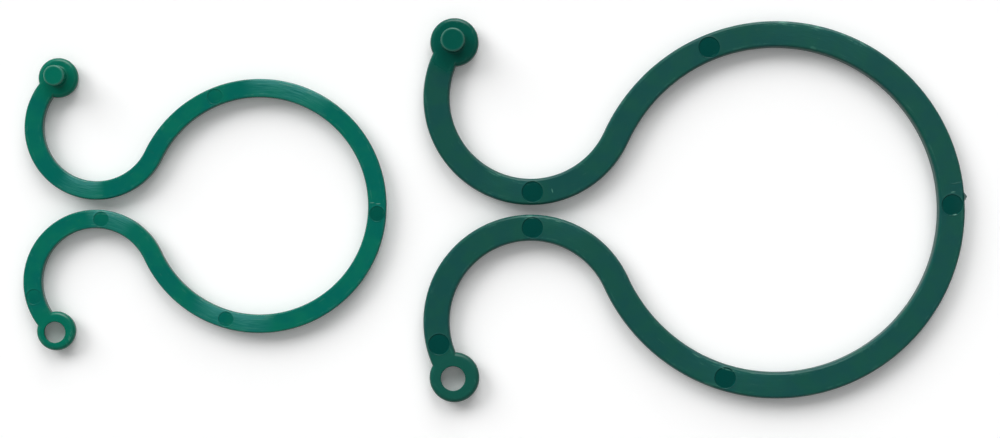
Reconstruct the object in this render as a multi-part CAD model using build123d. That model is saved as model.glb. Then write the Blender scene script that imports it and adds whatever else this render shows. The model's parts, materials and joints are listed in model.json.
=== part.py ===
from build123d import *
from dataclasses import dataclass
from math import asin, cos, degrees, radians, sin, sqrt
import os

# A pair of moulded twist clips for orchid stems, lying flat: a large one and a small one.
# Each is an open loop whose two ends curl back into hooks. The upper hook ends in a pad
# with an upright peg, the lower hook ends in an eye that the peg snaps into.
# Millimetres. X runs from the mouth to the back of the loops, Y from eye to peg, Z up.

# Large clip
large_loop_bore = 38.1
large_hook_bore = 19.0
large_strap_width = 3.1
large_thickness = 2.0
large_mouth_gap = 1.1
large_hook_sweep = 191.5
large_pad_diameter = 5.7
large_peg_diameter = 2.7
large_peg_height = 2.2
large_peg_outset = 0.2
large_eye_diameter = 5.85
large_eye_clearance = 0.08

# Small clip
small_loop_bore = 25.4
small_hook_bore = 12.5
small_strap_width = 2.25
small_thickness = 1.8
small_mouth_gap = 1.1
small_hook_sweep = 206.5
small_pad_diameter = 4.7
small_peg_diameter = 2.3
small_peg_height = 2.0
small_peg_outset = 0.2
small_eye_diameter = 4.6
small_eye_clearance = 0.08

# Where the small clip lies, from the centre of the large loop
small_clip_x = -60.6
small_clip_y = 0.45
small_clip_turn = -0.45

# Details of both clips
edge_bevel = 0.25
peg_tip_bevel = 0.2
mark_share = 0.94
mark_depth = 0.12
gate_width = 1.0
gate_reach = 0.3
gate_angle = 4.0
overrun = 1.0
same_place = 0.001

# Ejector pin prints, in degrees along the loop or the hook, or before the eye
large_back_mark_angle = 1.6
small_back_mark_angle = 3.4
peg_shoulder_mark_angle = 112.5
eye_shoulder_mark_angle = 107.0
large_trough_mark_angle = -89.0
small_trough_mark_angle = -85.0
large_eye_mark_before = 22.4
small_eye_mark_before = 37.6

# Flexures of both clips: places along the loop, in degrees from the middle of its back
back_flexure_angle = 16.0
first_flexure_angle = 42.0
second_flexure_angle = 95.0
knuckle_share = 0.75
flexure_clearance = 0.1

# Closing: how far the two flexures of each eye arm turn, in degrees, seen from above,
# and what the crossing arms clear
large_first_turn = 15.0
large_second_turn = 9.8
small_first_turn = 18.3
small_second_turn = 10.7
crossing_clearance = 0.3

PEG_SIDE = 1
EYE_SIDE = -1
LOOP_CENTRE = Vector(0, 0, 0)


@dataclass
class Clip:
    """One clip, with the middle of its loop at the origin and its mouth towards -X."""

    name: str
    loop_bore: float
    hook_bore: float
    strap_width: float
    thickness: float
    mouth_gap: float
    hook_sweep: float
    pad_diameter: float
    peg_diameter: float
    peg_height: float
    peg_outset: float
    eye_diameter: float
    eye_clearance: float
    first_turn: float
    second_turn: float

    @property
    def loop_radius(self):
        return (self.loop_bore + self.strap_width) / 2

    @property
    def hook_radius(self):
        return (self.hook_bore + self.strap_width) / 2

    @property
    def hook_height(self):
        """From the clip's centre line to the middle of a hook."""
        return (self.mouth_gap + self.strap_width) / 2 + self.hook_radius

    @property
    def meeting_angle(self):
        """Where the loop runs into a hook, seen from the hook, in degrees below the level."""
        return degrees(asin(self.hook_height / (self.loop_radius + self.hook_radius)))

    @property
    def pad_angle(self):
        """Where the pad or the eye is centred on its hook, in degrees."""
        return -self.meeting_angle - self.hook_sweep

    @property
    def knuckle_radius(self):
        return knuckle_share * self.strap_width

    @property
    def mark_radius(self):
        """An ejector pin's print stays on the strap's flat, inside its bevelled edges."""
        return mark_share * (self.strap_width / 2 - edge_bevel)

    def hook_centre(self, side):
        reach = sqrt((self.loop_radius + self.hook_radius) ** 2 - self.hook_height**2)
        return Vector(-reach, side * self.hook_height, 0)

    def on_loop(self, side, angle):
        """A point of the strap's middle, by its angle from the middle of the back."""
        a = radians(angle)
        middle = self.thickness / 2
        return Vector(self.loop_radius * cos(a), side * self.loop_radius * sin(a), middle)

    def on_hook(self, side, angle, inset=0):
        a = radians(angle)
        along = Vector(cos(a), side * sin(a), 0)
        return self.hook_centre(side) + along * (self.hook_radius - inset)


def large_clip():
    return Clip(
        "large",
        large_loop_bore,
        large_hook_bore,
        large_strap_width,
        large_thickness,
        large_mouth_gap,
        large_hook_sweep,
        large_pad_diameter,
        large_peg_diameter,
        large_peg_height,
        large_peg_outset,
        large_eye_diameter,
        large_eye_clearance,
        large_first_turn,
        large_second_turn,
    )


def small_clip():
    return Clip(
        "small",
        small_loop_bore,
        small_hook_bore,
        small_strap_width,
        small_thickness,
        small_mouth_gap,
        small_hook_sweep,
        small_pad_diameter,
        small_peg_diameter,
        small_peg_height,
        small_peg_outset,
        small_eye_diameter,
        small_eye_clearance,
        small_first_turn,
        small_second_turn,
    )


def quaternion(turn):
    """The rotation about a vector by its length in degrees, as w, x, y, z."""
    half = radians(turn.length) / 2
    axis = turn.normalized() * sin(half)
    return cos(half), axis.X, axis.Y, axis.Z


def turned_back(first, total):
    """The direction of the turn that is still to come after the first one, up to the total."""
    w, x, y, z = first
    tw, tx, ty, tz = total
    rest_x = w * tx - x * tw - y * tz + z * ty
    rest_y = w * ty + x * tz - y * tw - z * tx
    rest_z = w * tz - x * ty + y * tx - z * tw
    return Vector(rest_x, rest_y, rest_z).normalized()


def flexures(clip):
    """Each flexure's name, the middle of its knuckle, and the axis that it closes about.

    The peg arm closes level. The eye arm climbs over it: the first flexure also tips the bow
    up by the clip's thickness and a clearance, and the second one levels the arm again.
    """
    near = clip.on_loop(EYE_SIDE, first_flexure_angle)
    far = clip.on_loop(EYE_SIDE, second_flexure_angle)
    bow = far - near
    rise = degrees(asin((clip.thickness + crossing_clearance) / bow.length))
    across = Vector(bow.Y, -bow.X, 0).normalized()
    first = across * rise - Vector(0, 0, clip.first_turn)
    total = Vector(0, 0, -clip.first_turn - clip.second_turn)
    return {
        "back": (clip.on_loop(EYE_SIDE, back_flexure_angle), Vector(0, 0, -1)),
        "peg_first": (clip.on_loop(PEG_SIDE, first_flexure_angle), Vector(0, 0, 1)),
        "peg_second": (clip.on_loop(PEG_SIDE, second_flexure_angle), Vector(0, 0, 1)),
        "eye_first": (near, first.normalized()),
        "eye_second": (far, turned_back(quaternion(first), quaternion(total))),
    }


def strap(clip, centre, radius, start, end):
    """A length of strap, its edges still square, along an arc between two angles in degrees."""
    start, end = sorted((start, end))
    a = radians(start)
    outward = Vector(cos(a), sin(a), 0)
    middle = Vector(0, 0, clip.thickness / 2)
    place = Plane(centre + outward * radius + middle, x_dir=outward, z_dir=(-sin(a), cos(a), 0))
    section = place * Rectangle(clip.strap_width, clip.thickness)
    return revolve(section, Axis(centre, (0, 0, 1)), end - start)


def bevelled(clip, piece, centre, radius):
    """A length of strap with its four long edges bevelled."""
    walls = (radius - clip.strap_width / 2, radius + clip.strap_width / 2)
    long_edges = []
    for edge in piece.edges().filter_by(GeomType.CIRCLE):
        middle = Vector(edge.arc_center.X, edge.arc_center.Y, 0)
        off_wall = min(abs(edge.radius - wall) for wall in walls)
        if (middle - centre).length < same_place and off_wall < same_place:
            long_edges.append(edge)
    return chamfer(long_edges, edge_bevel)


def loop_strap(clip, side, start, end):
    return strap(clip, LOOP_CENTRE, clip.loop_radius, side * start, side * end)


def bevelled_loop(clip, piece):
    return bevelled(clip, piece, LOOP_CENTRE, clip.loop_radius)


def hook_strap(clip, side, start, end):
    """A length of a hook's strap, with its edges bevelled."""
    centre = clip.hook_centre(side)
    piece = strap(clip, centre, clip.hook_radius, side * start, side * end)
    return bevelled(clip, piece, centre, clip.hook_radius)


def knuckle(clip, flexure, clearance=0):
    """The round body that a flexure turns on, along its axis, with its seam at its back."""
    middle, axis = flexure
    length = 2 * (clip.strap_width + clip.thickness)
    behind = Vector(middle.X, middle.Y, 0).cross(axis)
    place = Plane(middle, x_dir=behind, z_dir=axis)
    return place * Cylinder(clip.knuckle_radius + clearance, length)


def with_knuckle(clip, piece, flexure, side, angle, away):
    """A strap that ends in the round end of a flexure, which stands out past its middle."""
    stretch = degrees(2 * clip.knuckle_radius / clip.loop_radius)
    nose = loop_strap(clip, side, angle, angle + away * stretch) & knuckle(clip, flexure)
    return piece + nose


def without_knuckle(clip, piece, flexure):
    """A strap that ends in the hollow of a flexure."""
    return piece - knuckle(clip, flexure, flexure_clearance)


def disc(clip, side, diameter):
    """The flat round end of an arm, with bevelled rims."""
    centre = clip.on_hook(side, clip.pad_angle)
    blank = Cylinder(diameter / 2, clip.thickness, align=(Align.CENTER, Align.CENTER, Align.MIN))
    rims = blank.edges().filter_by(GeomType.CIRCLE)
    return Pos(centre.X, centre.Y, 0) * chamfer(rims, edge_bevel)


def arm_end(clip, side, diameter):
    """The round end with the last of its hook's strap, up to where the strap is clear of it."""
    root = degrees((diameter / 2 + edge_bevel) / clip.hook_radius)
    stub = hook_strap(clip, side, clip.pad_angle, clip.pad_angle + root)
    return disc(clip, side, diameter) + stub, clip.pad_angle + root


def marked(clip, piece, place):
    """A piece with the shallow round print of an ejector pin in its top face."""
    pin = Cylinder(
        clip.mark_radius,
        mark_depth + overrun,
        align=(Align.CENTER, Align.CENTER, Align.MIN),
    )
    return piece - Pos(place.X, place.Y, clip.thickness - mark_depth) * pin


def gate_stub(clip):
    """What is left of the gate where the moulding was cut from its runner."""
    back = clip.loop_radius + clip.strap_width / 2
    length = clip.strap_width / 2 + gate_reach
    block = Box(length, gate_width, clip.thickness / 2, align=(Align.MIN, Align.CENTER, Align.MIN))
    start = Pos(back + gate_reach - length, 0, clip.thickness / 4)
    return Rot(0, 0, gate_angle) * start * block


def peg_side(clip, hinges):
    """The half of the clip that ends in the peg, from the back of the loop on."""
    back = loop_strap(clip, PEG_SIDE, -back_flexure_angle, first_flexure_angle)
    back = with_knuckle(clip, back, hinges["back"], PEG_SIDE, -back_flexure_angle, -1)
    back = with_knuckle(clip, back, hinges["peg_first"], PEG_SIDE, first_flexure_angle, 1)
    bow = loop_strap(clip, PEG_SIDE, first_flexure_angle, second_flexure_angle)
    bow = without_knuckle(clip, bow, hinges["peg_first"])
    bow = with_knuckle(clip, bow, hinges["peg_second"], PEG_SIDE, second_flexure_angle, 1)
    end, root_angle = arm_end(clip, PEG_SIDE, clip.pad_diameter)
    return {
        "peg_back": bevelled_loop(clip, back),
        "peg_bow": bevelled_loop(clip, bow),
        "peg_shoulder": shoulder(clip, PEG_SIDE, hinges["peg_second"]),
        "peg_hook": hook_strap(clip, PEG_SIDE, -clip.meeting_angle, root_angle),
        "peg_pad": end,
        "peg_post": peg(clip),
    }


def eye_side(clip, hinges):
    """The half of the clip that ends in the eye."""
    back = loop_strap(clip, EYE_SIDE, back_flexure_angle, first_flexure_angle)
    back = without_knuckle(clip, back, hinges["back"])
    back = with_knuckle(clip, back, hinges["eye_first"], EYE_SIDE, first_flexure_angle, 1)
    bow = loop_strap(clip, EYE_SIDE, first_flexure_angle, second_flexure_angle)
    bow = without_knuckle(clip, bow, hinges["eye_first"])
    bow = with_knuckle(clip, bow, hinges["eye_second"], EYE_SIDE, second_flexure_angle, 1)
    ring, root_angle = arm_end(clip, EYE_SIDE, clip.eye_diameter)
    hole_radius = clip.peg_diameter / 2 + clip.eye_clearance
    hole = Pos(post_place(clip, EYE_SIDE)) * Cylinder(hole_radius, 2 * (clip.thickness + overrun))
    return {
        "eye_back": bevelled_loop(clip, back),
        "eye_bow": bevelled_loop(clip, bow),
        "eye_shoulder": shoulder(clip, EYE_SIDE, hinges["eye_second"]),
        "eye_hook": hook_strap(clip, EYE_SIDE, -clip.meeting_angle, root_angle),
        "eye_ring": ring - hole,
    }


def shoulder(clip, side, hinge):
    """The last of the loop, from the second flexure to where it runs into the hook."""
    piece = loop_strap(clip, side, second_flexure_angle, 180 - clip.meeting_angle)
    return bevelled_loop(clip, without_knuckle(clip, piece, hinge))


def post_place(clip, side):
    """Where the peg stands, and where its eye is: a little outside the strap's middle."""
    return clip.on_hook(side, clip.pad_angle, -clip.peg_outset)


def peg(clip):
    post = Cylinder(
        clip.peg_diameter / 2,
        clip.peg_height,
        align=(Align.CENTER, Align.CENTER, Align.MIN),
    )
    tip = post.edges().filter_by(GeomType.CIRCLE).sort_by(Axis.Z)[-1]
    return Pos(post_place(clip, PEG_SIDE)) * Pos(0, 0, clip.thickness) * chamfer(tip, peg_tip_bevel)


def finished(clip, pieces, marks):
    """A clip's nodes with their ejector pin prints, each print given by its node and middle."""
    for node, place in marks:
        pieces[node] = marked(clip, pieces[node], place)
    return {f"{clip.name}_{node}": piece for node, piece in pieces.items()}


def large_pieces():
    clip = large_clip()
    hinges = flexures(clip)
    pieces = peg_side(clip, hinges) | eye_side(clip, hinges)
    pieces["peg_back"] += gate_stub(clip)
    near_eye = clip.pad_angle + large_eye_mark_before
    marks = [
        ("peg_back", clip.on_loop(PEG_SIDE, large_back_mark_angle)),
        ("peg_shoulder", clip.on_loop(PEG_SIDE, peg_shoulder_mark_angle)),
        ("eye_shoulder", clip.on_loop(EYE_SIDE, eye_shoulder_mark_angle)),
        ("peg_hook", clip.on_hook(PEG_SIDE, large_trough_mark_angle)),
        ("eye_hook", clip.on_hook(EYE_SIDE, large_trough_mark_angle)),
        ("eye_hook", clip.on_hook(EYE_SIDE, near_eye)),
        ("eye_ring", clip.on_hook(EYE_SIDE, near_eye)),
    ]
    return finished(clip, pieces, marks)


def small_pieces():
    clip = small_clip()
    hinges = flexures(clip)
    pieces = peg_side(clip, hinges) | eye_side(clip, hinges)
    near_eye = clip.pad_angle + small_eye_mark_before
    marks = [
        ("peg_back", clip.on_loop(EYE_SIDE, small_back_mark_angle)),
        ("peg_shoulder", clip.on_loop(PEG_SIDE, peg_shoulder_mark_angle)),
        ("eye_shoulder", clip.on_loop(EYE_SIDE, eye_shoulder_mark_angle)),
        ("eye_hook", clip.on_hook(EYE_SIDE, small_trough_mark_angle)),
        ("eye_hook", clip.on_hook(EYE_SIDE, near_eye)),
    ]
    return finished(clip, pieces, marks)


def small_clip_place():
    return Pos(small_clip_x, small_clip_y, 0) * Rot(0, 0, small_clip_turn)


def all_pieces():
    """Every node, about the middle of the large loop."""
    nodes = large_pieces()
    for name, piece in small_pieces().items():
        nodes[name] = small_clip_place() * piece
    return nodes


def to_origin(nodes):
    """The move that brings the middle of the pair's outline over the origin."""
    box = Compound(children=[Compound(node.solids()) for node in nodes.values()]).bounding_box()
    middle = box.center()
    return Pos(-middle.X, -middle.Y, -box.min.Z)


def main():
    os.makedirs("parts", exist_ok=True)
    nodes = all_pieces()
    move = to_origin(nodes)
    for name, piece in nodes.items():
        export_step(move * piece, f"parts/{name}.step")


if __name__ == "__main__":
    main()
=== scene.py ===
import json
from math import asin, atan2, cos, pi, radians, sin

import bmesh
import bpy
from bpy.props import FloatProperty, FloatVectorProperty, IntProperty, PointerProperty
from mathutils import Matrix, Vector


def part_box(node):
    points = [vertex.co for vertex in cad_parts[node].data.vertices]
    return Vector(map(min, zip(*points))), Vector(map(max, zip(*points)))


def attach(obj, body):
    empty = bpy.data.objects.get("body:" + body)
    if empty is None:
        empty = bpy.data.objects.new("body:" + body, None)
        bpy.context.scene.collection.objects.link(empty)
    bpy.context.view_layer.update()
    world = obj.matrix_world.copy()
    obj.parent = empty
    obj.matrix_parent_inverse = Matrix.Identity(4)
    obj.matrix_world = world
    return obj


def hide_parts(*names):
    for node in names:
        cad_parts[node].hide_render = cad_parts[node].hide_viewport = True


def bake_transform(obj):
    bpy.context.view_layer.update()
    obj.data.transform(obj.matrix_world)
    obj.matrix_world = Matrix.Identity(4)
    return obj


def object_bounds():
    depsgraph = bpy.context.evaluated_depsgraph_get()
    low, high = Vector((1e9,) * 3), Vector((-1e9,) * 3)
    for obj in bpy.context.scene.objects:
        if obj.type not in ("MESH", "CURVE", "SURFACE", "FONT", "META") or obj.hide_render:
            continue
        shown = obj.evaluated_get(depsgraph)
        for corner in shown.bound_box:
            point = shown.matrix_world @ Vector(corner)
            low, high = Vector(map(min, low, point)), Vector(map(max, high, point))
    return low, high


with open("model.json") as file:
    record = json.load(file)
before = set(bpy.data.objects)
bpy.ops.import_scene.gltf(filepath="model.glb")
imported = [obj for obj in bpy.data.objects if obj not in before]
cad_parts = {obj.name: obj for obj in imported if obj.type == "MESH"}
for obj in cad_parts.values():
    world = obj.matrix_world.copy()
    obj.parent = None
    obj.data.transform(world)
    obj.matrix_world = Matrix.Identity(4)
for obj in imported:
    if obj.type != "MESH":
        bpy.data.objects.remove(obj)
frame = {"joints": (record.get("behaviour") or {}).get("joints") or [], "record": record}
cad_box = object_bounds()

bl_info = {
    "name": "Orchid Clips",
    "version": (1, 0, 0),
    "blender": (4, 5, 0),
    "location": "View3D > Sidebar > Orchid Clips",
    "description": "Dresses a large and a small moulded twist clip",
    "category": "Add Mesh",
}

MM = 0.001
PEG_SIDE = 1
EYE_SIDE = -1
LOOP_CENTRE = Vector((0, 0, 0))
MOUNTS = {mount["name"]: mount for mount in frame["record"]["mounts"]}
JOINTS = {joint["name"]: joint for joint in frame["joints"]}

# Places along the loop, in degrees from the middle of its back: where one length of strap
# hands over to the next, halfway between two flexures
BACK_TO_PEG_BOW = 13.0
BACK_TO_EYE_BOW = 29.0
BOW_TO_SHOULDER = 68.5

# How far a bend reaches to either side of its flexure, in degrees along the loop
NARROW_BEND = 11.7
WIDE_BEND = 24.0

# Prints of the ejector pins, in degrees along the loop, along the hook, or before the eye
PRINT_ANGLES = {
    "large": {"back": 1.6, "peg_shoulder": 112.5, "eye_shoulder": 107, "trough": -89, "near_eye": 22.4},
    "small": {"back": -3.4, "peg_shoulder": 112.5, "eye_shoulder": 106, "trough": -85, "near_eye": 37.6},
}
PRINTED = ("back", "peg_shoulder", "eye_shoulder", "peg_hook", "eye_hook", "near_eye")

# Single scuffs on the flats, each by its place along the strap and across it
SCUFFS = {
    "large": ((2.06 * MM, 0.18 * MM), (-0.55 * MM, 0.25 * MM), (66.0 * MM, 0.15 * MM)),
    "small": ((0.5 * MM, -0.62 * MM), (0.36 * MM, 0.1 * MM)),
}

# Rings of the round bodies, as shares of their radius
DISC_RING_SHARES = (0.0, 0.45, 0.7, 0.85, 0.97)
PRINT_RING_SHARES = (0.0, 0.3, 0.6, 0.85)
TIP_RING_SHARES = (0.9, 0.5, 0.0)

# The bead round a peg: where it starts and how far it rises, as shares of the peg's height,
# and the steps of its rise
BEAD_START = 0.35
BEAD_REACH = 0.4
BEAD_STEP_SHARES = (0.0, 0.25, 0.5, 0.75)

# The lighter edge of a peg's tip, worn and with a painted highlight, as a share of its round,
# and where a print's faces are sought, as a share of its depth
TIP_EDGE = 0.7
PRINT_SLACK = 1.2

# The torn cone of the gate's stub
GATE_STRETCH = 1.8
GATE_STEPS = 14

# How far from the wall the shoulder begins, is at its full, begins to fade and ends; it is rubbed, with a
# painted glint, and carries part of the painted sheen
SHOULDER_RISE = (0.05 * MM, 0.3 * MM)
SHOULDER_FALL = (0.42 * MM, 0.75 * MM)

# How far from the strap's middle the weld line begins and is at its full
WELD_RISE = (-0.2 * MM, 0.4 * MM)

# The paper that the clips lie on
FLOOR_GAP = 0.02 * MM
FIBRE_SIZE = 0.5 * MM
FIBRE_HEIGHT = 0.01 * MM

# Vertices closer than this become one, at a round body's pole and in a piece that was cut
POLE_MERGE = 0.0001 * MM
CUT_MERGE = 0.0005 * MM

# Sharper than this, an edge isn't shaded smooth
SMOOTH_ANGLE = radians(34)


class Clip:
    """One clip's measures, read from the frame, in its own plane: the middle of its loop at
    the origin, its mouth towards -X and its peg towards +Y."""

    def __init__(self, name):
        self.name = name
        centre = Vector(MOUNTS[f"{name}_loop"]["pos_m"])
        stake = Vector(MOUNTS[f"{name}_stake_ring"]["pos_m"])
        centre.z = stake.z = 0
        self.reach = (centre - stake).length
        turn = atan2(centre.y - stake.y, centre.x - stake.x)
        self.place = Matrix.Translation(centre) @ Matrix.Rotation(turn, 4, "Z")
        low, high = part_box(f"{name}_peg_bow")
        bore_radius = MOUNTS[f"{name}_loop"]["dims"]["r_mm"] * MM
        self.thickness = high.z - low.z
        self.strap_width = high.y - centre.y - bore_radius
        self.loop_radius = bore_radius + self.strap_width / 2
        mouth_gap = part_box(f"{name}_peg_hook")[0].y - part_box(f"{name}_eye_hook")[1].y
        half_mouth = (mouth_gap + self.strap_width) / 2
        square = self.reach**2 + half_mouth**2 - self.loop_radius**2
        self.hook_radius = square / (2 * (self.loop_radius - half_mouth))
        self.hook_height = half_mouth + self.hook_radius
        self.meeting = asin(self.hook_height / (self.loop_radius + self.hook_radius))
        self.post = self.middle_of("peg_post")
        self.hook_end = atan2(self.post.y - self.hook_height, self.post.x + self.reach)
        if self.hook_end > 0:
            self.hook_end -= 2 * pi
        low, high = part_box(f"{name}_peg_post")
        self.peg_radius = (high.x - low.x) / 2
        self.peg_top = high.z
        pad_middle = self.place @ self.on_hook(PEG_SIDE, self.hook_end)
        eye_middle = self.place @ self.on_hook(EYE_SIDE, self.hook_end)
        self.pad_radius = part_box(f"{name}_peg_pad")[1].y - pad_middle.y
        self.eye_radius = eye_middle.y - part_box(f"{name}_eye_ring")[0].y

    def middle_of(self, node):
        low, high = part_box(f"{self.name}_{node}")
        return self.place.inverted() @ ((low + high) / 2)

    def hook_centre(self, side):
        return Vector((-self.reach, side * self.hook_height, 0))

    def on_loop(self, side, angle):
        """A point of the strap's middle line, by its angle in radians from the loop's back."""
        return Vector((cos(angle), side * sin(angle), 0)) * self.loop_radius

    def on_hook(self, side, angle):
        along = Vector((cos(angle), side * sin(angle), 0))
        return self.hook_centre(side) + along * self.hook_radius

    def from_middle(self, point):
        """How far a point lies sideways from the strap's middle line, and how far along it."""
        side = PEG_SIDE if point.y > 0 else EYE_SIDE
        off = point - self.hook_centre(side)
        swept = (-self.meeting - atan2(side * off.y, off.x)) % (2 * pi)
        if swept < -self.meeting - self.hook_end and off.xy.length < 2 * self.hook_radius:
            along = self.loop_radius * (pi - self.meeting) + self.hook_radius * swept
            return off.xy.length - self.hook_radius, side * along
        angle = atan2(point.y, point.x)
        return point.xy.length - self.loop_radius, self.loop_radius * angle


CLIPS = (Clip("large"), Clip("small"))


def property_of(kind, **settings):
    """A function that makes properties of a kind by their name, description and default."""

    def made(name, description, default):
        return kind(name=name, description=description, default=default, **settings)

    return made


length = property_of(FloatProperty, unit="LENGTH", precision=6)
factor = property_of(FloatProperty, subtype="FACTOR")
number = property_of(FloatProperty)
steps = property_of(IntProperty, min=1)
colour = property_of(FloatVectorProperty, subtype="COLOR", min=0, max=1)


def turned(name, description, degrees):
    return property_of(FloatProperty, subtype="ANGLE")(name, description, radians(degrees))


class ClipForm(bpy.types.PropertyGroup):
    """Small shapes of both mouldings."""

    large_edge_round: length("Large edge round", "Radius of the large strap's long edges", 0.5 * MM)
    small_edge_round: length("Small edge round", "Radius of the small strap's long edges", 0.62 * MM)
    pad_round: length("Pad round", "Radius of the rims of the pad and the eye", 0.5 * MM)
    peg_round: length("Peg round", "Radius of the rim at the peg's tip", 0.2 * MM)
    peg_fillet: length("Peg fillet", "Radius at the peg's foot", 0.18 * MM)
    peg_bead: length("Peg bead", "How far the head stands proud of the foot", 0.05 * MM)
    large_draft: length("Large draft", "Lean of the large walls, from top to bottom", 0.02 * MM)
    small_draft: length("Small draft", "Lean of the small walls, from top to bottom", 0.12 * MM)
    root_room: length("Root room", "Strap left on a round end, past its rim", 0.04 * MM)
    root_start: factor("Root start", "Its start, as a share of the round end's radius", 0.37)
    root_sunk: length("Root sunk", "How far it lies within the round end's flats", 0.002 * MM)
    end_reach: length("End reach", "How far a round end's finish runs along its strap", 1.6 * MM)
    faint_print: factor("Faint print", "Depth of colour of the small prints past the back", 0.3)
    eye_clearance: length("Eye clearance", "Room between the peg and its eye", 0.08 * MM)
    eye_rim: length("Eye rim", "Width of the hole's bevels", 0.08 * MM)
    eye_draft: length("Eye draft", "How much wider the hole is below", 0.26 * MM)
    large_print_depth: length("Large print depth", "Depth of a print in the large clip", 0.08 * MM)
    small_print_depth: length("Small print depth", "Depth of a print in the small clip", 0.05 * MM)
    print_dome: length("Print dome", "Rise of the print's floor at its middle", 0.03 * MM)
    print_rim: factor("Print rim", "Width of its rim, as a share of its depth", 0.6)
    print_share: factor("Print width", "Its radius, as a share of half the strap", 0.8)
    gate_width: length("Gate width", "Width of the gate's stub at its foot", 1.0 * MM)
    gate_tip: length("Gate tip", "Height of the stub's torn tip", 0.08 * MM)
    gate_reach: length("Gate reach", "How far the gate's stub stands out", 0.3 * MM)
    gate_height: factor("Gate height", "Its height, as a share of the thickness", 0.72)
    gate_angle: turned("Gate place", "Its place along the large loop", 4.0)
    loop_steps: steps("Steps in a loop", "Steps in a turn of the strap", 240)
    round_steps: steps("Steps in a round", "Steps in a turn of a pad, peg or print", 72)
    edge_steps: steps("Steps in an edge", "Steps across a rounded edge", 7)
    across_steps: steps("Steps across", "Steps across the strap's flat", 8)
    upright_steps: steps("Steps upright", "Steps up the strap's wall", 4)


class ClipFinish(bpy.types.PropertyGroup):
    """Colours and surface of the two plastics."""

    large_flat: colour("Large flat", "Strap of the large clip", (0.0022, 0.073, 0.065))
    large_cloud: colour("Large cloud", "Its greener patches", (0.0016, 0.081, 0.059))
    large_print: colour("Large print", "Prints in the large clip", (0.0002, 0.052, 0.044))
    large_end: colour("Large end", "Pad, peg and eye of the large clip", (0.0004, 0.09, 0.064))
    small_flat: colour("Small flat", "Strap of the small clip", (0.0002, 0.132, 0.102))
    small_cloud: colour("Small cloud", "Its greener patches", (0.0005, 0.152, 0.1))
    small_print: colour("Small print", "Prints in the small clip", (0.0001, 0.083, 0.06))
    small_end: colour("Small end", "Pad, peg and eye of the small clip", (0.0002, 0.15, 0.094))
    # Lighter colour for wear, and for painted glints on the rubbed shoulders and a painted highlight round
    # the peg's tip.
    worn: colour("Worn", "Rubbed edges and scratches", (0.1, 0.3, 0.23))
    # Painted sheen: a lighter colour laid on the strap where it faces, or faces away from, the light
    # behind, standing in for its grooves catching that light.
    hazed: colour("Hazed", "Grooves that catch the light behind", (0.036, 0.23, 0.2))
    large_haze: factor("Large haze", "How much haze the large clip shows", 0.08)
    small_haze: factor("Small haze", "How much haze the small clip shows", 0.74)
    haze_side: turned("Haze side", "Side that the hazed strap faces, from +X", 76.0)
    haze_wide: turned("Haze wide", "Reach of the haze to either side of that", 23.0)
    haze_narrow: turned("Haze narrow", "Reach of the full haze", 4.0)
    haze_edge: factor("Haze edge", "How much more the edge nearest the light has", 0.9)
    large_roughness: factor("Large roughness", "Roughness of the large strap", 0.38)
    small_roughness: factor("Small roughness", "Roughness of the small strap", 0.2)
    end_roughness: factor("End roughness", "Roughness of the smooth round ends", 0.2)
    dull_roughness: factor("Dull roughness", "Roughness of the duller round ends", 0.38)
    print_roughness: factor("Print roughness", "Roughness of the prints", 0.16)
    mottle_size: length("Mottle size", "Size of the cloudy marks", 2.6 * MM)
    grain_size: length("Grain size", "Size of the fine grain", 0.16 * MM)
    scratch_length: length("Scratch length", "Length of the drag marks along the strap", 2.4 * MM)
    scratch_width: length("Scratch width", "Width of the drag marks", 0.2 * MM)
    groove_length: length("Groove length", "Length of the mould's fine grooves", 1.5 * MM)
    groove_width: length("Groove width", "Width of the mould's fine grooves", 0.07 * MM)
    large_grooves: number("Large grooves", "Depth of the large clip's grooves", 0.7)
    small_grooves: number("Small grooves", "Depth of the small clip's grooves", 1.0)
    bump_height: length("Bump height", "Height of the fine relief", 0.02 * MM)
    lip_height: length("Lip height", "Height of the burr round a print", 0.05 * MM)
    lip_width: length("Lip width", "Width of the burr round a print", 0.2 * MM)
    weld_place: length("Weld place", "Its place on the large loop", 3.05 * MM)
    weld_width: length("Weld width", "Width of the weld line", 0.24 * MM)
    scuff_length: length("Scuff length", "Half the length of a single scuff", 0.42 * MM)
    scuff_width: length("Scuff width", "Half the width of a single scuff", 0.09 * MM)
    refraction: number("Refraction", "Refractive index of the plastic", 1.49)


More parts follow.
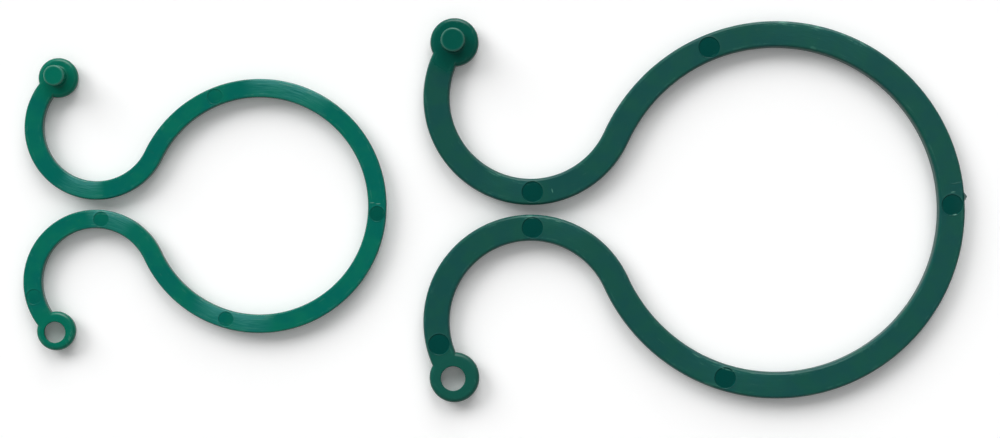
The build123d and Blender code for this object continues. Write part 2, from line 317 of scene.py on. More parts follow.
class ClipStage(bpy.types.PropertyGroup):
    """The floor, the lights and the camera."""

    camera_height: length("Camera height", "Height over the clips' top face", 259 * MM)
    camera_x: length("Camera X", "Camera's place along X", 0.57 * MM)
    camera_y: length("Camera Y", "Camera's place along Y", -1.04 * MM)
    lens: number("Lens", "Focal length in millimetres", 79.62)
    floor_size: length("Floor size", "Side of the floor", 3.0)
    floor_white: number("Floor white", "Its colour as the camera sees it", 1.05)
    floor_pale: factor("Floor pale", "Its colour as the clips see it", 0.7)
    key_strength: number("Key strength", "Strength of the soft key light", 1.88)
    key_size: turned("Key size", "Width of the key light", 38.0)
    key_height: turned("Key height", "Height of the key light", 30.0)
    key_side: turned("Key side", "Side of the key light, from +X", 142.0)
    fill_strength: number("Fill strength", "Strength of the even light", 0.83)
    fill_size: turned("Fill size", "Width of the even light", 120.0)
    fill_height: turned("Fill height", "Height of the even light", 90.0)
    fill_side: turned("Fill side", "Side of the even light, from +X", 0.0)
    rim_strength: number("Rim strength", "Strength of the small light behind", 0.06)
    rim_size: turned("Rim size", "Width of the small light behind", 6.0)
    rim_height: turned("Rim height", "Height of the small light behind", 52.0)
    rim_side: turned("Rim side", "Side of the small light, from +X", 74.0)
    sky: factor("Sky", "Brightness near the floor", 0.06)
    ceiling: factor("Ceiling", "Brightness of the ceiling", 0.18)
    ceiling_wide: turned("Ceiling wide", "Reach of the ceiling", 62.0)
    ceiling_narrow: turned("Ceiling narrow", "Reach of its full brightness", 25.0)
    dark: factor("Dark", "Brightness of the dark part", 0.01)
    dark_side: turned("Dark side", "Side of the dark part, from +X", 180.0)
    dark_lean: turned("Dark lean", "Lean of the dark part", 7.0)
    dark_wide: turned("Dark wide", "Reach of the dark part", 32.0)
    dark_narrow: turned("Dark narrow", "Reach of the darkest part", 16.0)
    glow: number("Glow", "Brightness of the soft glow behind", 3.6)
    glow_side: turned("Glow side", "Side of the soft glow, from +X", 84.0)
    glow_height: turned("Glow height", "Height of the soft glow", 30.0)
    glow_wide: turned("Glow wide", "Reach of the glow", 32.0)
    glow_narrow: turned("Glow narrow", "Reach of its full brightness", 8.0)


class Value:
    """A socket in a node tree. Sums on it add Math nodes."""

    def __init__(self, recipe, socket):
        self.recipe = recipe
        self.socket = socket

    def math(self, operation, first, second=0.0):
        return self.recipe.add("Math", {0: first, 1: second}, operation=operation)

    def __add__(self, other):
        return self.math("ADD", self, other)

    __radd__ = __add__

    def __sub__(self, other):
        return self.math("SUBTRACT", self, other)

    def __rsub__(self, other):
        return self.math("SUBTRACT", other, self)

    def __mul__(self, other):
        return self.math("MULTIPLY", self, other)

    __rmul__ = __mul__

    def absolute(self):
        return self.math("ABSOLUTE", self)

    def at_least(self, other):
        return self.math("MAXIMUM", self, other)

    def over(self, low, high):
        """0 below low, 1 above high, and smooth between."""
        inputs = {"Value": self, "From Min": low, "From Max": high}
        return self.recipe.add("MapRange", inputs, interpolation_type="SMOOTHSTEP")


class Recipe:
    """A material's or the world's node tree."""

    def __init__(self, owner):
        owner.use_nodes = True
        self.tree = owner.node_tree
        self.tree.nodes.clear()

    def add(self, kind, inputs, output=0, **settings):
        """A shader node of a kind, with its settings made first and its sockets filled after."""
        node = self.tree.nodes.new(f"ShaderNode{kind}")
        for name, value in settings.items():
            setattr(node, name, value)
        for key, value in inputs.items():
            if isinstance(value, Value):
                self.tree.links.new(value.socket, node.inputs[key])
            else:
                node.inputs[key].default_value = value
        return Value(self, node.outputs[output]) if node.outputs else None

    def attribute(self, name, output="Fac"):
        return self.add("Attribute", {}, output, attribute_name=name)

    def places(self, output="Object"):
        return self.add("TexCoord", {}, output)

    def axis(self, vector, name):
        """One of a vector's three numbers."""
        return self.add("SeparateXYZ", {"Vector": vector}, name)

    def vectors(self, operation, first, second=(0, 0, 0), output="Vector"):
        return self.add("VectorMath", {0: first, 1: second}, output, operation=operation)

    def noise(self, place, size, detail):
        """Cloudy noise, with marks of about a size in metres."""
        return self.add("TexNoise", {"Vector": place, "Scale": 1 / size, "Detail": detail})

    def streaks(self, strap, length, width, detail):
        """Noise drawn out along the strap, with marks of about a length and a width in metres."""
        stretch = (width / length, 1.0, 1.0)
        along = self.add("Mapping", {"Vector": strap, "Scale": stretch})
        return self.noise(along, width, detail)

    def mix(self, share, first, second):
        """A colour between two colours."""
        inputs = {0: share, 6: first, 7: second}
        return self.add("Mix", inputs, 2, data_type="RGBA", clamp_factor=True)


def opaque(rgb):
    return (*rgb, 1.0)


def own(settings, clip, name):
    """A setting that each of the two clips has for itself."""
    return getattr(settings, f"{clip.name}_{name}")


class Surface:
    """Where the marks, edges, round ends and prints of one clip's plastic lie. Each mask runs
    from 0 to 1, and the noises run about a half."""

    def __init__(self, recipe, clip, finish, form):
        place = recipe.attribute("moulded", "Vector")
        strap = recipe.places("UV")
        self.mottle = recipe.noise(place, finish.mottle_size, 4.0)
        self.blotch = recipe.noise(place, finish.mottle_size / 4, 3.0)
        self.grain = recipe.noise(place, finish.grain_size, 2.0)
        self.drag = recipe.streaks(strap, finish.scratch_length, finish.scratch_width, 2.0)
        self.grooves = recipe.streaks(strap, finish.groove_length, finish.groove_width, 0.0)
        # How much the strap faces the light behind, which sets the painted sheen.
        self.haze = recipe.attribute("haze")
        self.printed = recipe.attribute("print")
        self.tip_edge = recipe.attribute("tip_edge")
        from_print = recipe.attribute("from_print", "Vector")
        self.from_print = recipe.vectors("LENGTH", from_print, output="Value")

        height = recipe.axis(place, "Z")
        peg_far = from_end(recipe, clip, place, PEG_SIDE)
        eye_far = from_end(recipe, clip, place, EYE_SIDE)
        peg_end = 1 - peg_far.over(clip.pad_radius, clip.pad_radius + form.end_reach)
        eye_end = 1 - eye_far.over(clip.eye_radius, clip.eye_radius + form.end_reach)
        on_flat = 1 - height.over(clip.thickness + form.peg_fillet / 2, clip.thickness + form.peg_fillet)
        self.ends = peg_end + eye_end
        self.dull = eye_end * on_flat if clip.name == "large" else 0.0

        across = recipe.axis(strap, "Y") - clip.thickness
        inside = clip.strap_width / 2 - across.absolute()
        inside = inside.at_least(clip.pad_radius - peg_far).at_least(clip.eye_radius - eye_far)
        edge = own(form, clip, "edge_round")
        self.upper = height.over(clip.thickness - 1.6 * edge, clip.thickness - 0.5 * edge)
        self.off_wall = inside.over(*SHOULDER_RISE)
        self.shoulder = self.upper * self.off_wall * (1 - inside.over(*SHOULDER_FALL))
        # The rubbed shoulders: wear, lighter where they face the light behind, which is a painted glint.
        worn = self.drag.over(0.52, 0.64) * self.blotch.over(0.42, 0.6)
        self.rubbed = self.shoulder * worn * (self.haze * 0.7 + 0.3)
        nicked = self.drag.over(0.66, 0.72) * self.blotch.over(0.54, 0.64)
        self.nicks = self.upper * (1 - self.shoulder) * nicked
        self.scuffs = scuffed(recipe, clip, finish, strap, self.blotch)
        self.weld = 0.0
        if clip.name == "large":
            self.weld = weld_line(recipe, finish, strap, across, self.blotch)


def from_end(recipe, clip, place, side):
    """How far a place lies, seen from above, from the middle of the round end on one side."""
    level = recipe.vectors("MULTIPLY", place, (1, 1, 0))
    return recipe.vectors("DISTANCE", level, clip.on_hook(side, clip.hook_end), "Value")


def weld_line(recipe, finish, strap, across, blotch):
    """The faint raised line across the outer half of the strap, where the melt has met."""
    off = recipe.axis(strap, "X") - finish.weld_place + (blotch - 0.5) * finish.weld_width * 2
    line = off.over(-finish.weld_width / 2, 0) * (1 - off.over(0, finish.weld_width / 2))
    return line * across.over(*WELD_RISE)


def scuffed(recipe, clip, finish, strap, blotch):
    """Single short scuffs on the flat of the strap."""
    total = 0.0
    shrunk = (1 / finish.scuff_width, 1 / finish.scuff_length, 1.0)
    for run, across in SCUFFS[clip.name]:
        off = recipe.vectors("SUBTRACT", strap, (run, across + clip.thickness, 0))
        far = recipe.vectors("LENGTH", recipe.vectors("MULTIPLY", off, shrunk), output="Value")
        total = (1 - (far + blotch * 0.5).over(0.6, 1.1)) + total
    return total


def plastic_colour(recipe, surface, clip, finish, form):
    """The clip's green with its clouds and round ends, then its painted sheen, prints, and wear with
    painted glints and a painted highlight.
    """
    flat, cloud, stamped, end = (
        opaque(own(finish, clip, part)) for part in ("flat", "cloud", "print", "end")
    )
    body = recipe.mix(surface.mottle.over(0.36, 0.66), flat, cloud)
    body = recipe.mix(surface.ends * 0.85, body, end)
    # Painted sheen: a lighter colour on the upper flats that face the light behind, streaked along the
    # grooves, drag marks and shoulders, but not on the round ends or in the prints.
    streaks = surface.grooves.over(0.4, 0.65) * 0.4 + surface.drag.over(0.4, 0.6) * 0.4
    streaks = streaks + surface.shoulder * 0.5
    hazed = surface.haze * (streaks + 0.2) * own(finish, clip, "haze") * (1 - surface.ends)
    radius = print_radius(clip, form)
    hazed = hazed * surface.upper * surface.off_wall * surface.from_print.over(radius * 0.9, radius)
    body = recipe.mix(hazed, body, opaque(finish.hazed))
    body = recipe.mix(surface.printed * 0.9, body, stamped)
    # Lighter colour: rubbed shoulders with painted glints, nicks, the peg's tip rim with wear and a
    # painted highlight, scuffs and the weld line.
    worn = surface.rubbed * 0.45 + surface.nicks * 0.1 + surface.tip_edge * (0.22 + surface.blotch * 0.3)
    worn = worn + surface.scuffs * 0.7 + surface.weld * 0.12
    return recipe.mix(worn, body, opaque(finish.worn))


def plastic_roughness(surface, clip, finish):
    """The strap's roughness, then that of the smooth ends, the duller eye and the prints."""
    blotch = surface.blotch - 0.5
    rough = own(finish, clip, "roughness") + (surface.mottle - 0.5) * 0.14
    rough = rough + blotch * 0.12 + (surface.grain - 0.5) * 0.1
    for share, base, spread in (
        (surface.ends, finish.end_roughness, 0.1),
        (surface.dull, finish.dull_roughness, 0.12),
        (surface.printed, finish.print_roughness, 0.08),
    ):
        rough = rough * (1 - share) + (base + blotch * spread) * share
    return rough


def plastic_relief(surface, clip, finish, form):
    """The fine relief, as shares of its height: grain, drag marks and grooves, then the burrs
    round the prints, the weld line and the scuffs."""
    radius, width, away = print_radius(clip, form), finish.lip_width, surface.from_print
    burr = away.over(radius - width / 2, radius) * (1 - away.over(radius, radius + width))
    relief = surface.grain * 0.15 + surface.drag * 0.3 + surface.blotch * 0.3
    relief = relief + surface.rubbed * 0.8 + surface.nicks * 0.8
    relief = relief + surface.grooves * own(finish, clip, "grooves") * (1 - surface.ends)
    relief = relief * (1 - surface.printed * 0.8) * (1 - surface.ends * 0.5)
    relief = relief + burr * (finish.lip_height / finish.bump_height)
    return relief + surface.weld * 1.8 + surface.scuffs * 1.5


def plastic(clip, finish, form):
    """Moulded polypropylene: a finely ground strap with cloudy marks and drag marks, smooth
    ends, smooth dark prints with a burr round them, rubbed edges with painted glints, and a
    painted sheen where the strap faces the light behind."""
    material = bpy.data.materials.new(f"{clip.name}_clip_plastic")
    recipe = Recipe(material)
    surface = Surface(recipe, clip, finish, form)
    height = plastic_relief(surface, clip, finish, form)
    relief = {"Strength": 0.5, "Distance": finish.bump_height, "Height": height}
    inputs = {
        "Base Color": plastic_colour(recipe, surface, clip, finish, form),
        "Roughness": plastic_roughness(surface, clip, finish),
        "Normal": recipe.add("Bump", relief),
        "IOR": finish.refraction,
    }
    shader = recipe.add("BsdfPrincipled", inputs)
    recipe.add("OutputMaterial", {"Surface": shader})


def white_floor(stage):
    """Matt white paper. The camera sees it a little paler than it lights the clips."""
    material = bpy.data.materials.new("white_paper")
    recipe = Recipe(material)
    seen = recipe.add("LightPath", {}, "Is Camera Ray")
    pale = opaque((stage.floor_pale,) * 3)
    white = opaque((stage.floor_white,) * 3)
    fibres = recipe.noise(recipe.places(), FIBRE_SIZE, 2.0)
    bump = recipe.add("Bump", {"Strength": 0.1, "Distance": FIBRE_HEIGHT, "Height": fibres})
    inputs = {"Color": recipe.mix(seen, pale, white), "Normal": bump}
    shader = recipe.add("BsdfDiffuse", inputs)
    recipe.add("OutputMaterial", {"Surface": shader})
    return material


def cut_face(bm, clip, form):
    """The strap's cut face, with round corners, at the middle of the loop's back."""
    made = bmesh.ops.create_grid(bm, x_segments=form.across_steps, y_segments=form.upright_steps, size=0.5)
    verts = made["verts"]
    bmesh.ops.scale(bm, verts=verts, vec=(clip.strap_width, clip.thickness, 1))
    for vert in verts:
        sunk = 0.5 - vert.co.y / clip.thickness
        vert.co.x *= 1 - 2 * own(form, clip, "draft") * sunk / clip.strap_width
    corners = [vert for vert in verts if len(vert.link_edges) == 2]
    bmesh.ops.dissolve_faces(bm, faces=bm.faces[:])
    bmesh.ops.bevel(
        bm,
        geom=corners,
        affect="VERTICES",
        offset=own(form, clip, "edge_round"),
        segments=form.edge_steps,
        profile=0.5,
        material=-1,
    )
    upright = Matrix.Rotation(radians(90), 4, "X")
    at_back = Matrix.Translation((clip.loop_radius, 0, clip.thickness / 2))
    bmesh.ops.transform(bm, matrix=at_back @ upright, verts=bm.verts)


def strap_mesh(clip, form, side, centre, radius, start, end):
    """A closed length of strap, spun about a centre from one angle to another."""
    bm = bmesh.new()
    cut_face(bm, clip, form)
    shift = centre + Vector((radius - clip.loop_radius, 0, 0))
    bmesh.ops.translate(bm, verts=bm.verts, vec=shift)
    turn = Matrix.Rotation(side * start, 3, "Z")
    bmesh.ops.rotate(bm, verts=bm.verts, cent=centre, matrix=turn)
    angle = side * (end - start)
    count = max(2, round(form.loop_steps * abs(angle) / (2 * pi)))
    made = bmesh.ops.spin(
        bm, geom=bm.edges[:], cent=centre, axis=(0, 0, 1), angle=angle, steps=count, use_duplicate=False
    )
    last = [item for item in made["geom_last"] if isinstance(item, bmesh.types.BMEdge)]
    bmesh.ops.contextual_create(bm, geom=last)
    return bm


def loop_strap(clip, form, side, start, end):
    return strap_mesh(clip, form, side, LOOP_CENTRE, clip.loop_radius, start, end)


def hook_strap(clip, form, side, start, end):
    return strap_mesh(clip, form, side, clip.hook_centre(side), clip.hook_radius, start, end)


def turned_shape(profile, centre, count):
    """A round body about an upright axis, from (radius, height) points."""
    bm = bmesh.new()
    verts = [bm.verts.new((radius, 0, height)) for radius, height in profile]
    edges = [bm.edges.new(pair) for pair in zip(verts, verts[1:])]
    bmesh.ops.spin(
        bm, geom=verts + edges, cent=(0, 0, 0), axis=(0, 0, 1), angle=2 * pi, steps=count, use_merge=True
    )
    bmesh.ops.remove_doubles(bm, verts=bm.verts, dist=POLE_MERGE)
    bmesh.ops.translate(bm, verts=bm.verts, vec=(centre.x, centre.y, 0))
    return bm


def quarter(radius, height, size, upward, outward, count):
    """Points of a quarter round that starts level and ends upright, or the other way."""
    points = []
    for step in range(count + 1):
        angle = pi / 2 * step / count
        points.append((radius + outward * size * sin(angle), height + upward * size * cos(angle)))
    return points


def disc_profile(clip, form, radius):
    """The pad or the eye's blank: a flat disc with rounded rims and rings across its flats."""
    size, lower = form.pad_round, radius - own(form, clip, "draft")
    rings = [(lower - size) * share for share in DISC_RING_SHARES]
    top = [(ring, clip.thickness) for ring in rings]
    rim = quarter(radius - size, clip.thickness - size, size, 1, 1, form.edge_steps)
    under = quarter(lower - size, size, size, -1, 1, form.edge_steps)
    return top + rim + under[::-1] + [(ring, 0.0) for ring in reversed(rings)]


def peg_profile(clip, form):
    """The peg, with a fillet at its foot, a slight bead round its head for the eye to snap over
    and a small round at its tip. It starts inside the pad."""
    radius, foot, top = clip.peg_radius, clip.thickness, clip.peg_top
    size, fillet = form.peg_round, form.peg_fillet
    points = [(0.0, foot - fillet), (radius + fillet, foot - fillet)]
    for step in range(form.edge_steps + 1):
        angle = pi / 2 * step / form.edge_steps
        points.append((radius + fillet * (1 - sin(angle)), foot + fillet * (1 - cos(angle))))
    for share in BEAD_STEP_SHARES:
        height = foot + (top - foot) * (BEAD_START + BEAD_REACH * share)
        points.append((radius + form.peg_bead * share**2 * (3 - 2 * share), height))
    head = radius + form.peg_bead - size
    points += reversed(quarter(head, top - size, size, 1, 1, form.edge_steps))
    return points + [(head * share, top) for share in TIP_RING_SHARES]


def print_profile(clip, form):
    """What an ejector pin leaves: a shallow round pit with a soft rim and a domed floor."""
    radius, depth = print_radius(clip, form), own(form, clip, "print_depth")
    rim, floor = form.print_rim * depth, clip.thickness - depth
    inner = [(radius * share, floor + form.print_dome * (1 - share**2)) for share in PRINT_RING_SHARES]
    wall = [(radius - rim, floor), (radius, floor + rim), (radius, clip.thickness - rim / 2)]
    lip = [(radius + rim, clip.thickness + rim / 2), (radius + rim, clip.thickness + radius)]
    return inner + wall + lip + [(0.0, clip.thickness + radius)]


def hole_profile(clip, form):
    """The eye's hole, wider below, with its bevelled mouths, longer than the eye is thick."""
    rim, top = form.eye_rim, clip.thickness
    upper = clip.peg_radius + form.eye_clearance
    lower = upper + form.eye_draft
    below = [(0.0, -top), (lower + 2 * rim, -top), (lower + 2 * rim, -rim), (lower, rim)]
    above = [(upper, top - rim), (upper + 2 * rim, top + rim), (upper + 2 * rim, 2 * top), (0.0, 2 * top)]
    return below + above


def print_radius(clip, form):
    return form.print_share * clip.strap_width / 2


def gate_mesh(clip, form):
    """The stub of the gate: a small torn cone on the shoulder of the loop's outer wall."""
    bm = bmesh.new()
    back = clip.loop_radius + clip.strap_width / 2
    sunk = form.gate_reach / 2
    spread = (form.gate_width - form.gate_tip) / form.gate_reach * sunk
    bmesh.ops.create_cone(
        bm,
        cap_ends=True,
        segments=GATE_STEPS,
        radius1=(form.gate_width + spread) / 2,
        radius2=form.gate_tip / 2,
        depth=form.gate_reach + sunk,
    )
    tip = [vert for vert in bm.verts if vert.co.z > 0]
    bmesh.ops.scale(bm, verts=tip, vec=(1.0, GATE_STRETCH, 1.0))
    bmesh.ops.rotate(bm, verts=bm.verts, cent=(0, 0, 0), matrix=Matrix.Rotation(radians(90), 3, "Y"))
    middle = back + (form.gate_reach - sunk) / 2
    shift = Vector((middle, 0, clip.thickness * form.gate_height))
    bmesh.ops.translate(bm, verts=bm.verts, vec=shift)
    bmesh.ops.rotate(bm, verts=bm.verts, cent=(0, 0, 0), matrix=Matrix.Rotation(form.gate_angle, 3, "Z"))
    return bm


def laid_down(bm, name):
    """An object of a mesh, with its faces turned outwards."""
    bmesh.ops.recalc_face_normals(bm, faces=bm.faces)
    mesh = bpy.data.meshes.new(name)
    bm.to_mesh(mesh)
    bm.free()
    piece = bpy.data.objects.new(name, mesh)
    bpy.context.scene.collection.objects.link(piece)
    return piece


def combined(piece, tool_bm, operation):
    """The piece joined with a tool's shape, or cut by it."""
    tool = laid_down(tool_bm, "tool")
    change = piece.modifiers.new("change", "BOOLEAN")
    change.operation = operation
    change.solver = "EXACT"
    change.object = tool
    bpy.context.view_layer.update()
    done = bpy.data.meshes.new_from_object(piece.evaluated_get(bpy.context.evaluated_depsgraph_get()))
    piece.modifiers.clear()
    old = piece.data
    piece.data = done
    bpy.data.meshes.remove(old)
    bpy.data.objects.remove(tool)
    if not done.polygons:
        raise RuntimeError(f"{piece.name} has lost its shape")


def painted_sheen_at(clip, finish, point):
    """How much painted sheen a place on the strap gets, by how much it faces, or faces away from,
    the light from behind: there its grooves run square to that light, and a lighter colour is
    painted on them. The edge nearest to the light has the most."""
    off = point - clip.hook_centre(PEG_SIDE if point.y > 0 else EYE_SIDE)
    radius = clip.hook_radius
    if off.xy.length > radius + clip.strap_width / 2:
        off = point
        radius = clip.loop_radius
    outwards = clip.place.to_3x3() @ Vector((off.x, off.y, 0)).normalized()
    facing = outwards.dot(towards(finish.haze_side, 0))
    low, high = cos(finish.haze_wide), cos(finish.haze_narrow)
    share = min(1.0, max(0.0, (abs(facing) - low) / (high - low)))
    nearer = (off.xy.length - radius) / (clip.strap_width / 2) * (1 if facing > 0 else -1)
    return share * share * (3 - 2 * share) * (1 + finish.haze_edge * nearer)


def mark_faces(piece, clip, form, prints):
    """The attributes that the plastic reads: the place in the mould, the painted sheen, the prints and
    the way from the nearest one, the rim of the peg's tip, and a map along the strap."""
    finish = bpy.context.scene.clip_finish
    bm = bmesh.new()
    bm.from_mesh(piece.data)
    bmesh.ops.remove_doubles(bm, verts=bm.verts, dist=CUT_MERGE)
    bmesh.ops.dissolve_degenerate(bm, edges=bm.edges, dist=CUT_MERGE)
    bmesh.ops.delete(bm, geom=[edge for edge in bm.edges if edge.is_wire], context="EDGES")
    haze = bm.verts.layers.float.new("haze")
    tip_edge = bm.verts.layers.float.new("tip_edge")
    moulded = bm.verts.layers.float_vector.new("moulded")
    from_print = bm.verts.layers.float_vector.new("from_print")
    stamped = bm.faces.layers.float.new("print")
    along = bm.loops.layers.uv.new("along_strap")
    every_print = print_places(clip, *PRINTED)
    for vert in bm.verts:
        # How much painted sheen each place gets, by how it faces the light behind.
        vert[haze] = painted_sheen_at(clip, finish, vert.co)
        # The rim of the peg's tip: lighter in colour, for wear and a painted highlight.
        off_post = (vert.co - clip.post).xy.length - clip.peg_radius - form.peg_bead + form.peg_round / 2
        on_tip = vert.co.z > clip.peg_top - form.peg_round
        faded = abs(off_post) / (form.peg_round * TIP_EDGE)
        vert[tip_edge] = max(0.0, 1 - faded) if on_tip else 0.0
        vert[moulded] = vert.co
        top = Vector((vert.co.x, vert.co.y, 0))
        nearest = min(every_print, key=lambda place: (top - place).length)
        vert[from_print] = top - nearest
    reach = print_radius(clip, form)
    deepest = clip.thickness - PRINT_SLACK * own(form, clip, "print_depth")
    tone = 1.0 if clip.name == "large" or "back" in piece.name else form.faint_print
    for face in bm.faces:
        middle = face.calc_center_median()
        near = any((middle - place).xy.length < reach for place in prints)
        face[stamped] = tone if near and middle.z > deepest else 0.0
        face.smooth = True
        for loop in face.loops:
            sideways, run = clip.from_middle(loop.vert.co)
            loop[along].uv = (run, sideways + loop.vert.co.z)
    for edge in bm.edges:
        edge.smooth = edge.calc_face_angle(pi) < SMOOTH_ANGLE
    bm.to_mesh(piece.data)
    bm.free()


def finished(piece, clip, form, nodes, prints=()):
    """Cuts a piece's prints, places it in the frame, dresses it and hides the frame's parts
    that it stands for."""
    for place in prints:
        pin = turned_shape(print_profile(clip, form), place, form.round_steps)
        combined(piece, pin, "DIFFERENCE")
    mark_faces(piece, clip, form, prints)
    piece.data.transform(clip.place)
    piece.data.materials.clear()
    piece.data.materials.append(bpy.data.materials[f"{clip.name}_clip_plastic"])
    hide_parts(*(f"{clip.name}_{node}" for node in nodes))


def bends(piece, clip, joint_name, side, reach):
    """Works out the middle of a flexure and the span of a reach to either side of it, but uses neither; it
    only bakes the piece's place into its mesh, and the piece is not bent.
    """
    joint = JOINTS[f"{clip.name}_{joint_name}"]
    middle = Vector(joint["pos_m"])
    local = clip.place.inverted() @ middle
    angle = atan2(side * local.y, local.x)
    forward = clip.place.to_3x3() @ Vector((-sin(angle), side * cos(angle), 0))
    way = forward * clip.loop_radius * sin(radians(reach))
    middle - way
    middle + way
    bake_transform(piece)


def print_places(clip, *names):
    """Where the ejector pins have left their prints, by the length of strap that has them. The
    small clip's peg hook has none."""
    angles = {name: radians(angle) for name, angle in PRINT_ANGLES[clip.name].items()}
    places = {
        "back": clip.on_loop(PEG_SIDE, angles["back"]),
        "peg_shoulder": clip.on_loop(PEG_SIDE, angles["peg_shoulder"]),
        "eye_shoulder": clip.on_loop(EYE_SIDE, angles["eye_shoulder"]),
        "peg_hook": clip.on_hook(PEG_SIDE, angles["trough"]),
        "eye_hook": clip.on_hook(EYE_SIDE, angles["trough"]),
        "near_eye": clip.on_hook(EYE_SIDE, clip.hook_end + angles["near_eye"]),
    }
    if clip.name == "small":
        del places["peg_hook"]
    return [places[name] for name in names if name in places]


def root_angle(clip, form, radius):
    """Where the strap of a hook comes clear of its round end, short of the print beside it."""
    return clip.hook_end + (radius + form.root_room) / clip.hook_radius


class ORCHIDCLIP_OT_materials(bpy.types.Operator):
    """Make the plastics of both clips"""

    bl_idname = "orchid_clip.materials"
    bl_label = "Plastics"

    def execute(self, context):
        for clip in CLIPS:
            plastic(clip, context.scene.clip_finish, context.scene.clip_form)
        return {"FINISHED"}


class ORCHIDCLIP_OT_backs(bpy.types.Operator):
    """Make the back of each loop, with its print and the gate's stub"""

    bl_idname = "orchid_clip.backs"
    bl_label = "Backs of the loops"

    def execute(self, context):
        form = context.scene.clip_form
        for clip in CLIPS:
            start, end = -radians(BACK_TO_PEG_BOW), radians(BACK_TO_EYE_BOW)
            piece = laid_down(loop_strap(clip, form, EYE_SIDE, start, end), f"{clip.name}_back_strap")
            if clip.name == "large":
                combined(piece, gate_mesh(clip, form), "UNION")
            finished(piece, clip, form, ("peg_back", "eye_back"), print_places(clip, "back"))
            bends(piece, clip, "spread", EYE_SIDE, NARROW_BEND)
        return {"FINISHED"}


class ORCHIDCLIP_OT_bows(bpy.types.Operator):
    """Make the lengths of strap between the two flexures of each side"""

    bl_idname = "orchid_clip.bows"
    bl_label = "Bows"

    def execute(self, context):
        form = context.scene.clip_form
        for clip in CLIPS:
            for side, word, begin, joint in (
                (PEG_SIDE, "peg", BACK_TO_PEG_BOW, "close"),
                (EYE_SIDE, "eye", BACK_TO_EYE_BOW, "close_eye_bow"),
            ):
                bm = loop_strap(clip, form, side, radians(begin), radians(BOW_TO_SHOULDER))
                piece = laid_down(bm, f"{clip.name}_{word}_bow_strap")
                finished(piece, clip, form, (f"{word}_bow",))
                bends(piece, clip, joint, side, NARROW_BEND)
        return {"FINISHED"}


class ORCHIDCLIP_OT_shoulders(bpy.types.Operator):
    """Make the ends of each loop, up to where the strap turns the other way"""

    bl_idname = "orchid_clip.shoulders"
    bl_label = "Shoulders"

    def execute(self, context):
        form = context.scene.clip_form
        for clip in CLIPS:
            for side, word in ((PEG_SIDE, "peg"), (EYE_SIDE, "eye")):
                bm = loop_strap(clip, form, side, radians(BOW_TO_SHOULDER), pi - clip.meeting)
                piece = laid_down(bm, f"{clip.name}_{word}_shoulder_strap")
                prints = print_places(clip, f"{word}_shoulder")
                finished(piece, clip, form, (f"{word}_shoulder",), prints)
                bends(piece, clip, f"close_{word}_arm", side, WIDE_BEND)
        return {"FINISHED"}


class ORCHIDCLIP_OT_hooks(bpy.types.Operator):
    """Make the half-round hooks"""

    bl_idname = "orchid_clip.hooks"
    bl_label = "Hooks"

    def execute(self, context):
        form = context.scene.clip_form
        for clip in CLIPS:
            for side, word, radius, names in (
                (PEG_SIDE, "peg", clip.pad_radius, ("peg_hook",)),
                (EYE_SIDE, "eye", clip.eye_radius, ("eye_hook", "near_eye")),
            ):
                bm = hook_strap(clip, form, side, -clip.meeting, root_angle(clip, form, radius))
                piece = laid_down(bm, f"{clip.name}_{word}_hook_strap")
                finished(piece, clip, form, (f"{word}_hook",), print_places(clip, *names))
                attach(piece, f"{clip.name}_{word}_arm")
        return {"FINISHED"}


class ORCHIDCLIP_OT_pads(bpy.types.Operator):
    """Make the pads that the pegs stand on"""

    bl_idname = "orchid_clip.pads"
    bl_label = "Pads"

    def execute(self, context):
        form = context.scene.clip_form
        for clip in CLIPS:
            piece = round_end(clip, form, PEG_SIDE, clip.pad_radius, f"{clip.name}_peg_pad_round")
            finished(piece, clip, form, ("peg_pad",))
            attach(piece, f"{clip.name}_peg_arm")
        return {"FINISHED"}


class ORCHIDCLIP_OT_pegs(bpy.types.Operator):
    """Make the upright pegs"""

    bl_idname = "orchid_clip.pegs"
    bl_label = "Pegs"

    def execute(self, context):
        form = context.scene.clip_form
        for clip in CLIPS:
            bm = turned_shape(peg_profile(clip, form), clip.post, form.round_steps)
            piece = laid_down(bm, f"{clip.name}_peg")
            finished(piece, clip, form, ("peg_post",))
            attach(piece, f"{clip.name}_peg_arm")
        return {"FINISHED"}


class ORCHIDCLIP_OT_eyes(bpy.types.Operator):
    """Make the eyes that the pegs snap into"""

    bl_idname = "orchid_clip.eyes"
    bl_label = "Eyes"

    def execute(self, context):
        form = context.scene.clip_form
        for clip in CLIPS:
            piece = round_end(clip, form, EYE_SIDE, clip.eye_radius, f"{clip.name}_eye_round")
            middle = Vector((clip.post.x, -clip.post.y, 0))
            hole = turned_shape(hole_profile(clip, form), middle, form.round_steps)
            combined(piece, hole, "DIFFERENCE")
            finished(piece, clip, form, ("eye_ring",))
            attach(piece, f"{clip.name}_eye_arm")
        return {"FINISHED"}


def round_end(clip, form, side, radius, name):
    """The round end of an arm, with the last of its hook's strap, its root. The root ends short
    of the disc's middle and lies a little within its flats, so that the two join cleanly."""
    inner = clip.hook_end + form.root_start * radius / clip.hook_radius
    bm = hook_strap(clip, form, side, root_angle(clip, form, radius), inner)
    middle = Matrix.Translation((0, 0, -clip.thickness / 2))
    thinner = 1 - 2 * form.root_sunk / clip.thickness
    bmesh.ops.scale(bm, vec=(1, 1, thinner), space=middle, verts=bm.verts)
    piece = laid_down(bm, name)
    centre = clip.on_hook(side, clip.hook_end)
    combined(piece, turned_shape(disc_profile(clip, form, radius), centre, form.round_steps), "UNION")
    return piece


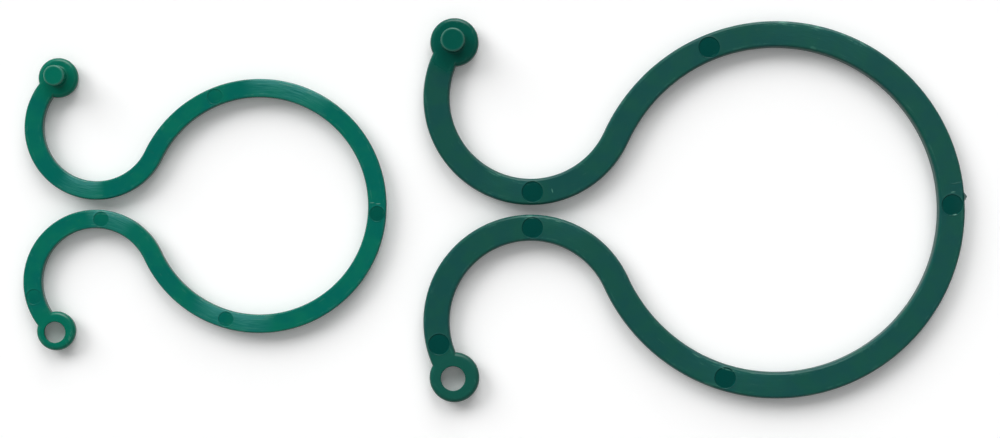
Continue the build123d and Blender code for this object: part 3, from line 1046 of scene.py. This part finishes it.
class ORCHIDCLIP_OT_stage(bpy.types.Operator):
    """Lay the floor, hang the lights and set the camera"""

    bl_idname = "orchid_clip.stage"
    bl_label = "Floor, lights and camera"

    def execute(self, context):
        stage = context.scene.clip_stage
        scene = context.scene
        bm = bmesh.new()
        bmesh.ops.create_grid(bm, x_segments=1, y_segments=1, size=stage.floor_size / 2)
        floor = laid_down(bm, "floor")
        floor.data.materials.append(white_floor(stage))
        floor.data.transform(Matrix.Translation((0, 0, cad_box[0][2] - FLOOR_GAP)))
        for name in ("key", "fill", "rim"):
            lamp = bpy.data.lights.new(f"{name}_light", "SUN")
            lamp.energy = getattr(stage, f"{name}_strength")
            lamp.angle = getattr(stage, f"{name}_size")
            hung = bpy.data.objects.new(f"{name}_light", lamp)
            way = towards(getattr(stage, f"{name}_side"), getattr(stage, f"{name}_height"))
            hung.rotation_euler = way.to_track_quat("Z", "Y").to_euler()
            hung.visible_glossy = name == "rim"
            scene.collection.objects.link(hung)
        camera = bpy.data.cameras.new("camera")
        camera.lens = stage.lens
        camera.clip_start = 1 * MM
        seat = bpy.data.objects.new("camera", camera)
        top = cad_box[0][2] + CLIPS[0].thickness
        seat.location = (stage.camera_x, stage.camera_y, top + stage.camera_height)
        scene.collection.objects.link(seat)
        scene.camera = seat
        scene.world = surroundings(stage)
        scene.view_settings.view_transform = "Standard"
        return {"FINISHED"}


def towards(side, height):
    """The direction of a light, by its side and its height over the floor."""
    return Vector((cos(side) * cos(height), sin(side) * cos(height), sin(height)))


def surroundings(stage):
    """Soft light from all sides: a glow behind, a pale ceiling and a dark part where the camera
    hangs. The camera itself sees white."""
    world = bpy.data.worlds.new("surroundings")
    recipe = Recipe(world)
    way = recipe.places("Generated")

    def near(direction, wide, narrow):
        close = recipe.vectors("DOT_PRODUCT", way, direction, "Value")
        return close.over(cos(wide), cos(narrow))

    glow = near(towards(stage.glow_side, stage.glow_height), stage.glow_wide, stage.glow_narrow)
    ceiling = near(towards(0, pi / 2), stage.ceiling_wide, stage.ceiling_narrow)
    overhead = towards(stage.dark_side, pi / 2 - stage.dark_lean)
    dark = near(overhead, stage.dark_wide, stage.dark_narrow)
    level = (glow * stage.glow + ceiling * stage.ceiling + stage.sky) * (1 - dark) + dark * stage.dark
    seen = recipe.add("LightPath", {}, "Is Camera Ray")
    strength = level * (1 - seen) + seen
    shader = recipe.add("Background", {"Color": opaque((1, 1, 1)), "Strength": strength})
    recipe.add("OutputWorld", {"Surface": shader})
    return world


class ORCHIDCLIP_PT_panel(bpy.types.Panel):
    """Lists the pieces in the sidebar"""

    bl_idname = "ORCHIDCLIP_PT_panel"
    bl_label = "Orchid Clips"
    bl_space_type = "VIEW_3D"
    bl_region_type = "UI"
    bl_category = "Orchid Clips"

    def draw(self, context):
        for operator in OPERATORS:
            self.layout.operator(operator.bl_idname)
        for group in ("clip_form", "clip_finish", "clip_stage"):
            settings = getattr(context.scene, group)
            for name in settings.bl_rna.properties.keys():
                if name not in ("rna_type", "name"):
                    self.layout.prop(settings, name)


GROUPS = {"clip_form": ClipForm, "clip_finish": ClipFinish, "clip_stage": ClipStage}
OPERATORS = (
    ORCHIDCLIP_OT_stage,
    ORCHIDCLIP_OT_materials,
    ORCHIDCLIP_OT_backs,
    ORCHIDCLIP_OT_bows,
    ORCHIDCLIP_OT_shoulders,
    ORCHIDCLIP_OT_hooks,
    ORCHIDCLIP_OT_pads,
    ORCHIDCLIP_OT_pegs,
    ORCHIDCLIP_OT_eyes,
)


def register():
    for name, group in GROUPS.items():
        bpy.utils.register_class(group)
        setattr(bpy.types.Scene, name, PointerProperty(type=group))
    for item in (*OPERATORS, ORCHIDCLIP_PT_panel):
        bpy.utils.register_class(item)


def unregister():
    for item in (ORCHIDCLIP_PT_panel, *reversed(OPERATORS)):
        bpy.utils.unregister_class(item)
    for name, group in GROUPS.items():
        delattr(bpy.types.Scene, name)
        bpy.utils.unregister_class(group)


def main():
    register()
    bpy.ops.orchid_clip.stage()
    bpy.ops.orchid_clip.materials()
    bpy.ops.orchid_clip.backs()
    bpy.ops.orchid_clip.bows()
    bpy.ops.orchid_clip.shoulders()
    bpy.ops.orchid_clip.hooks()
    bpy.ops.orchid_clip.pads()
    bpy.ops.orchid_clip.pegs()
    bpy.ops.orchid_clip.eyes()


if __name__ == "__main__":
    main()
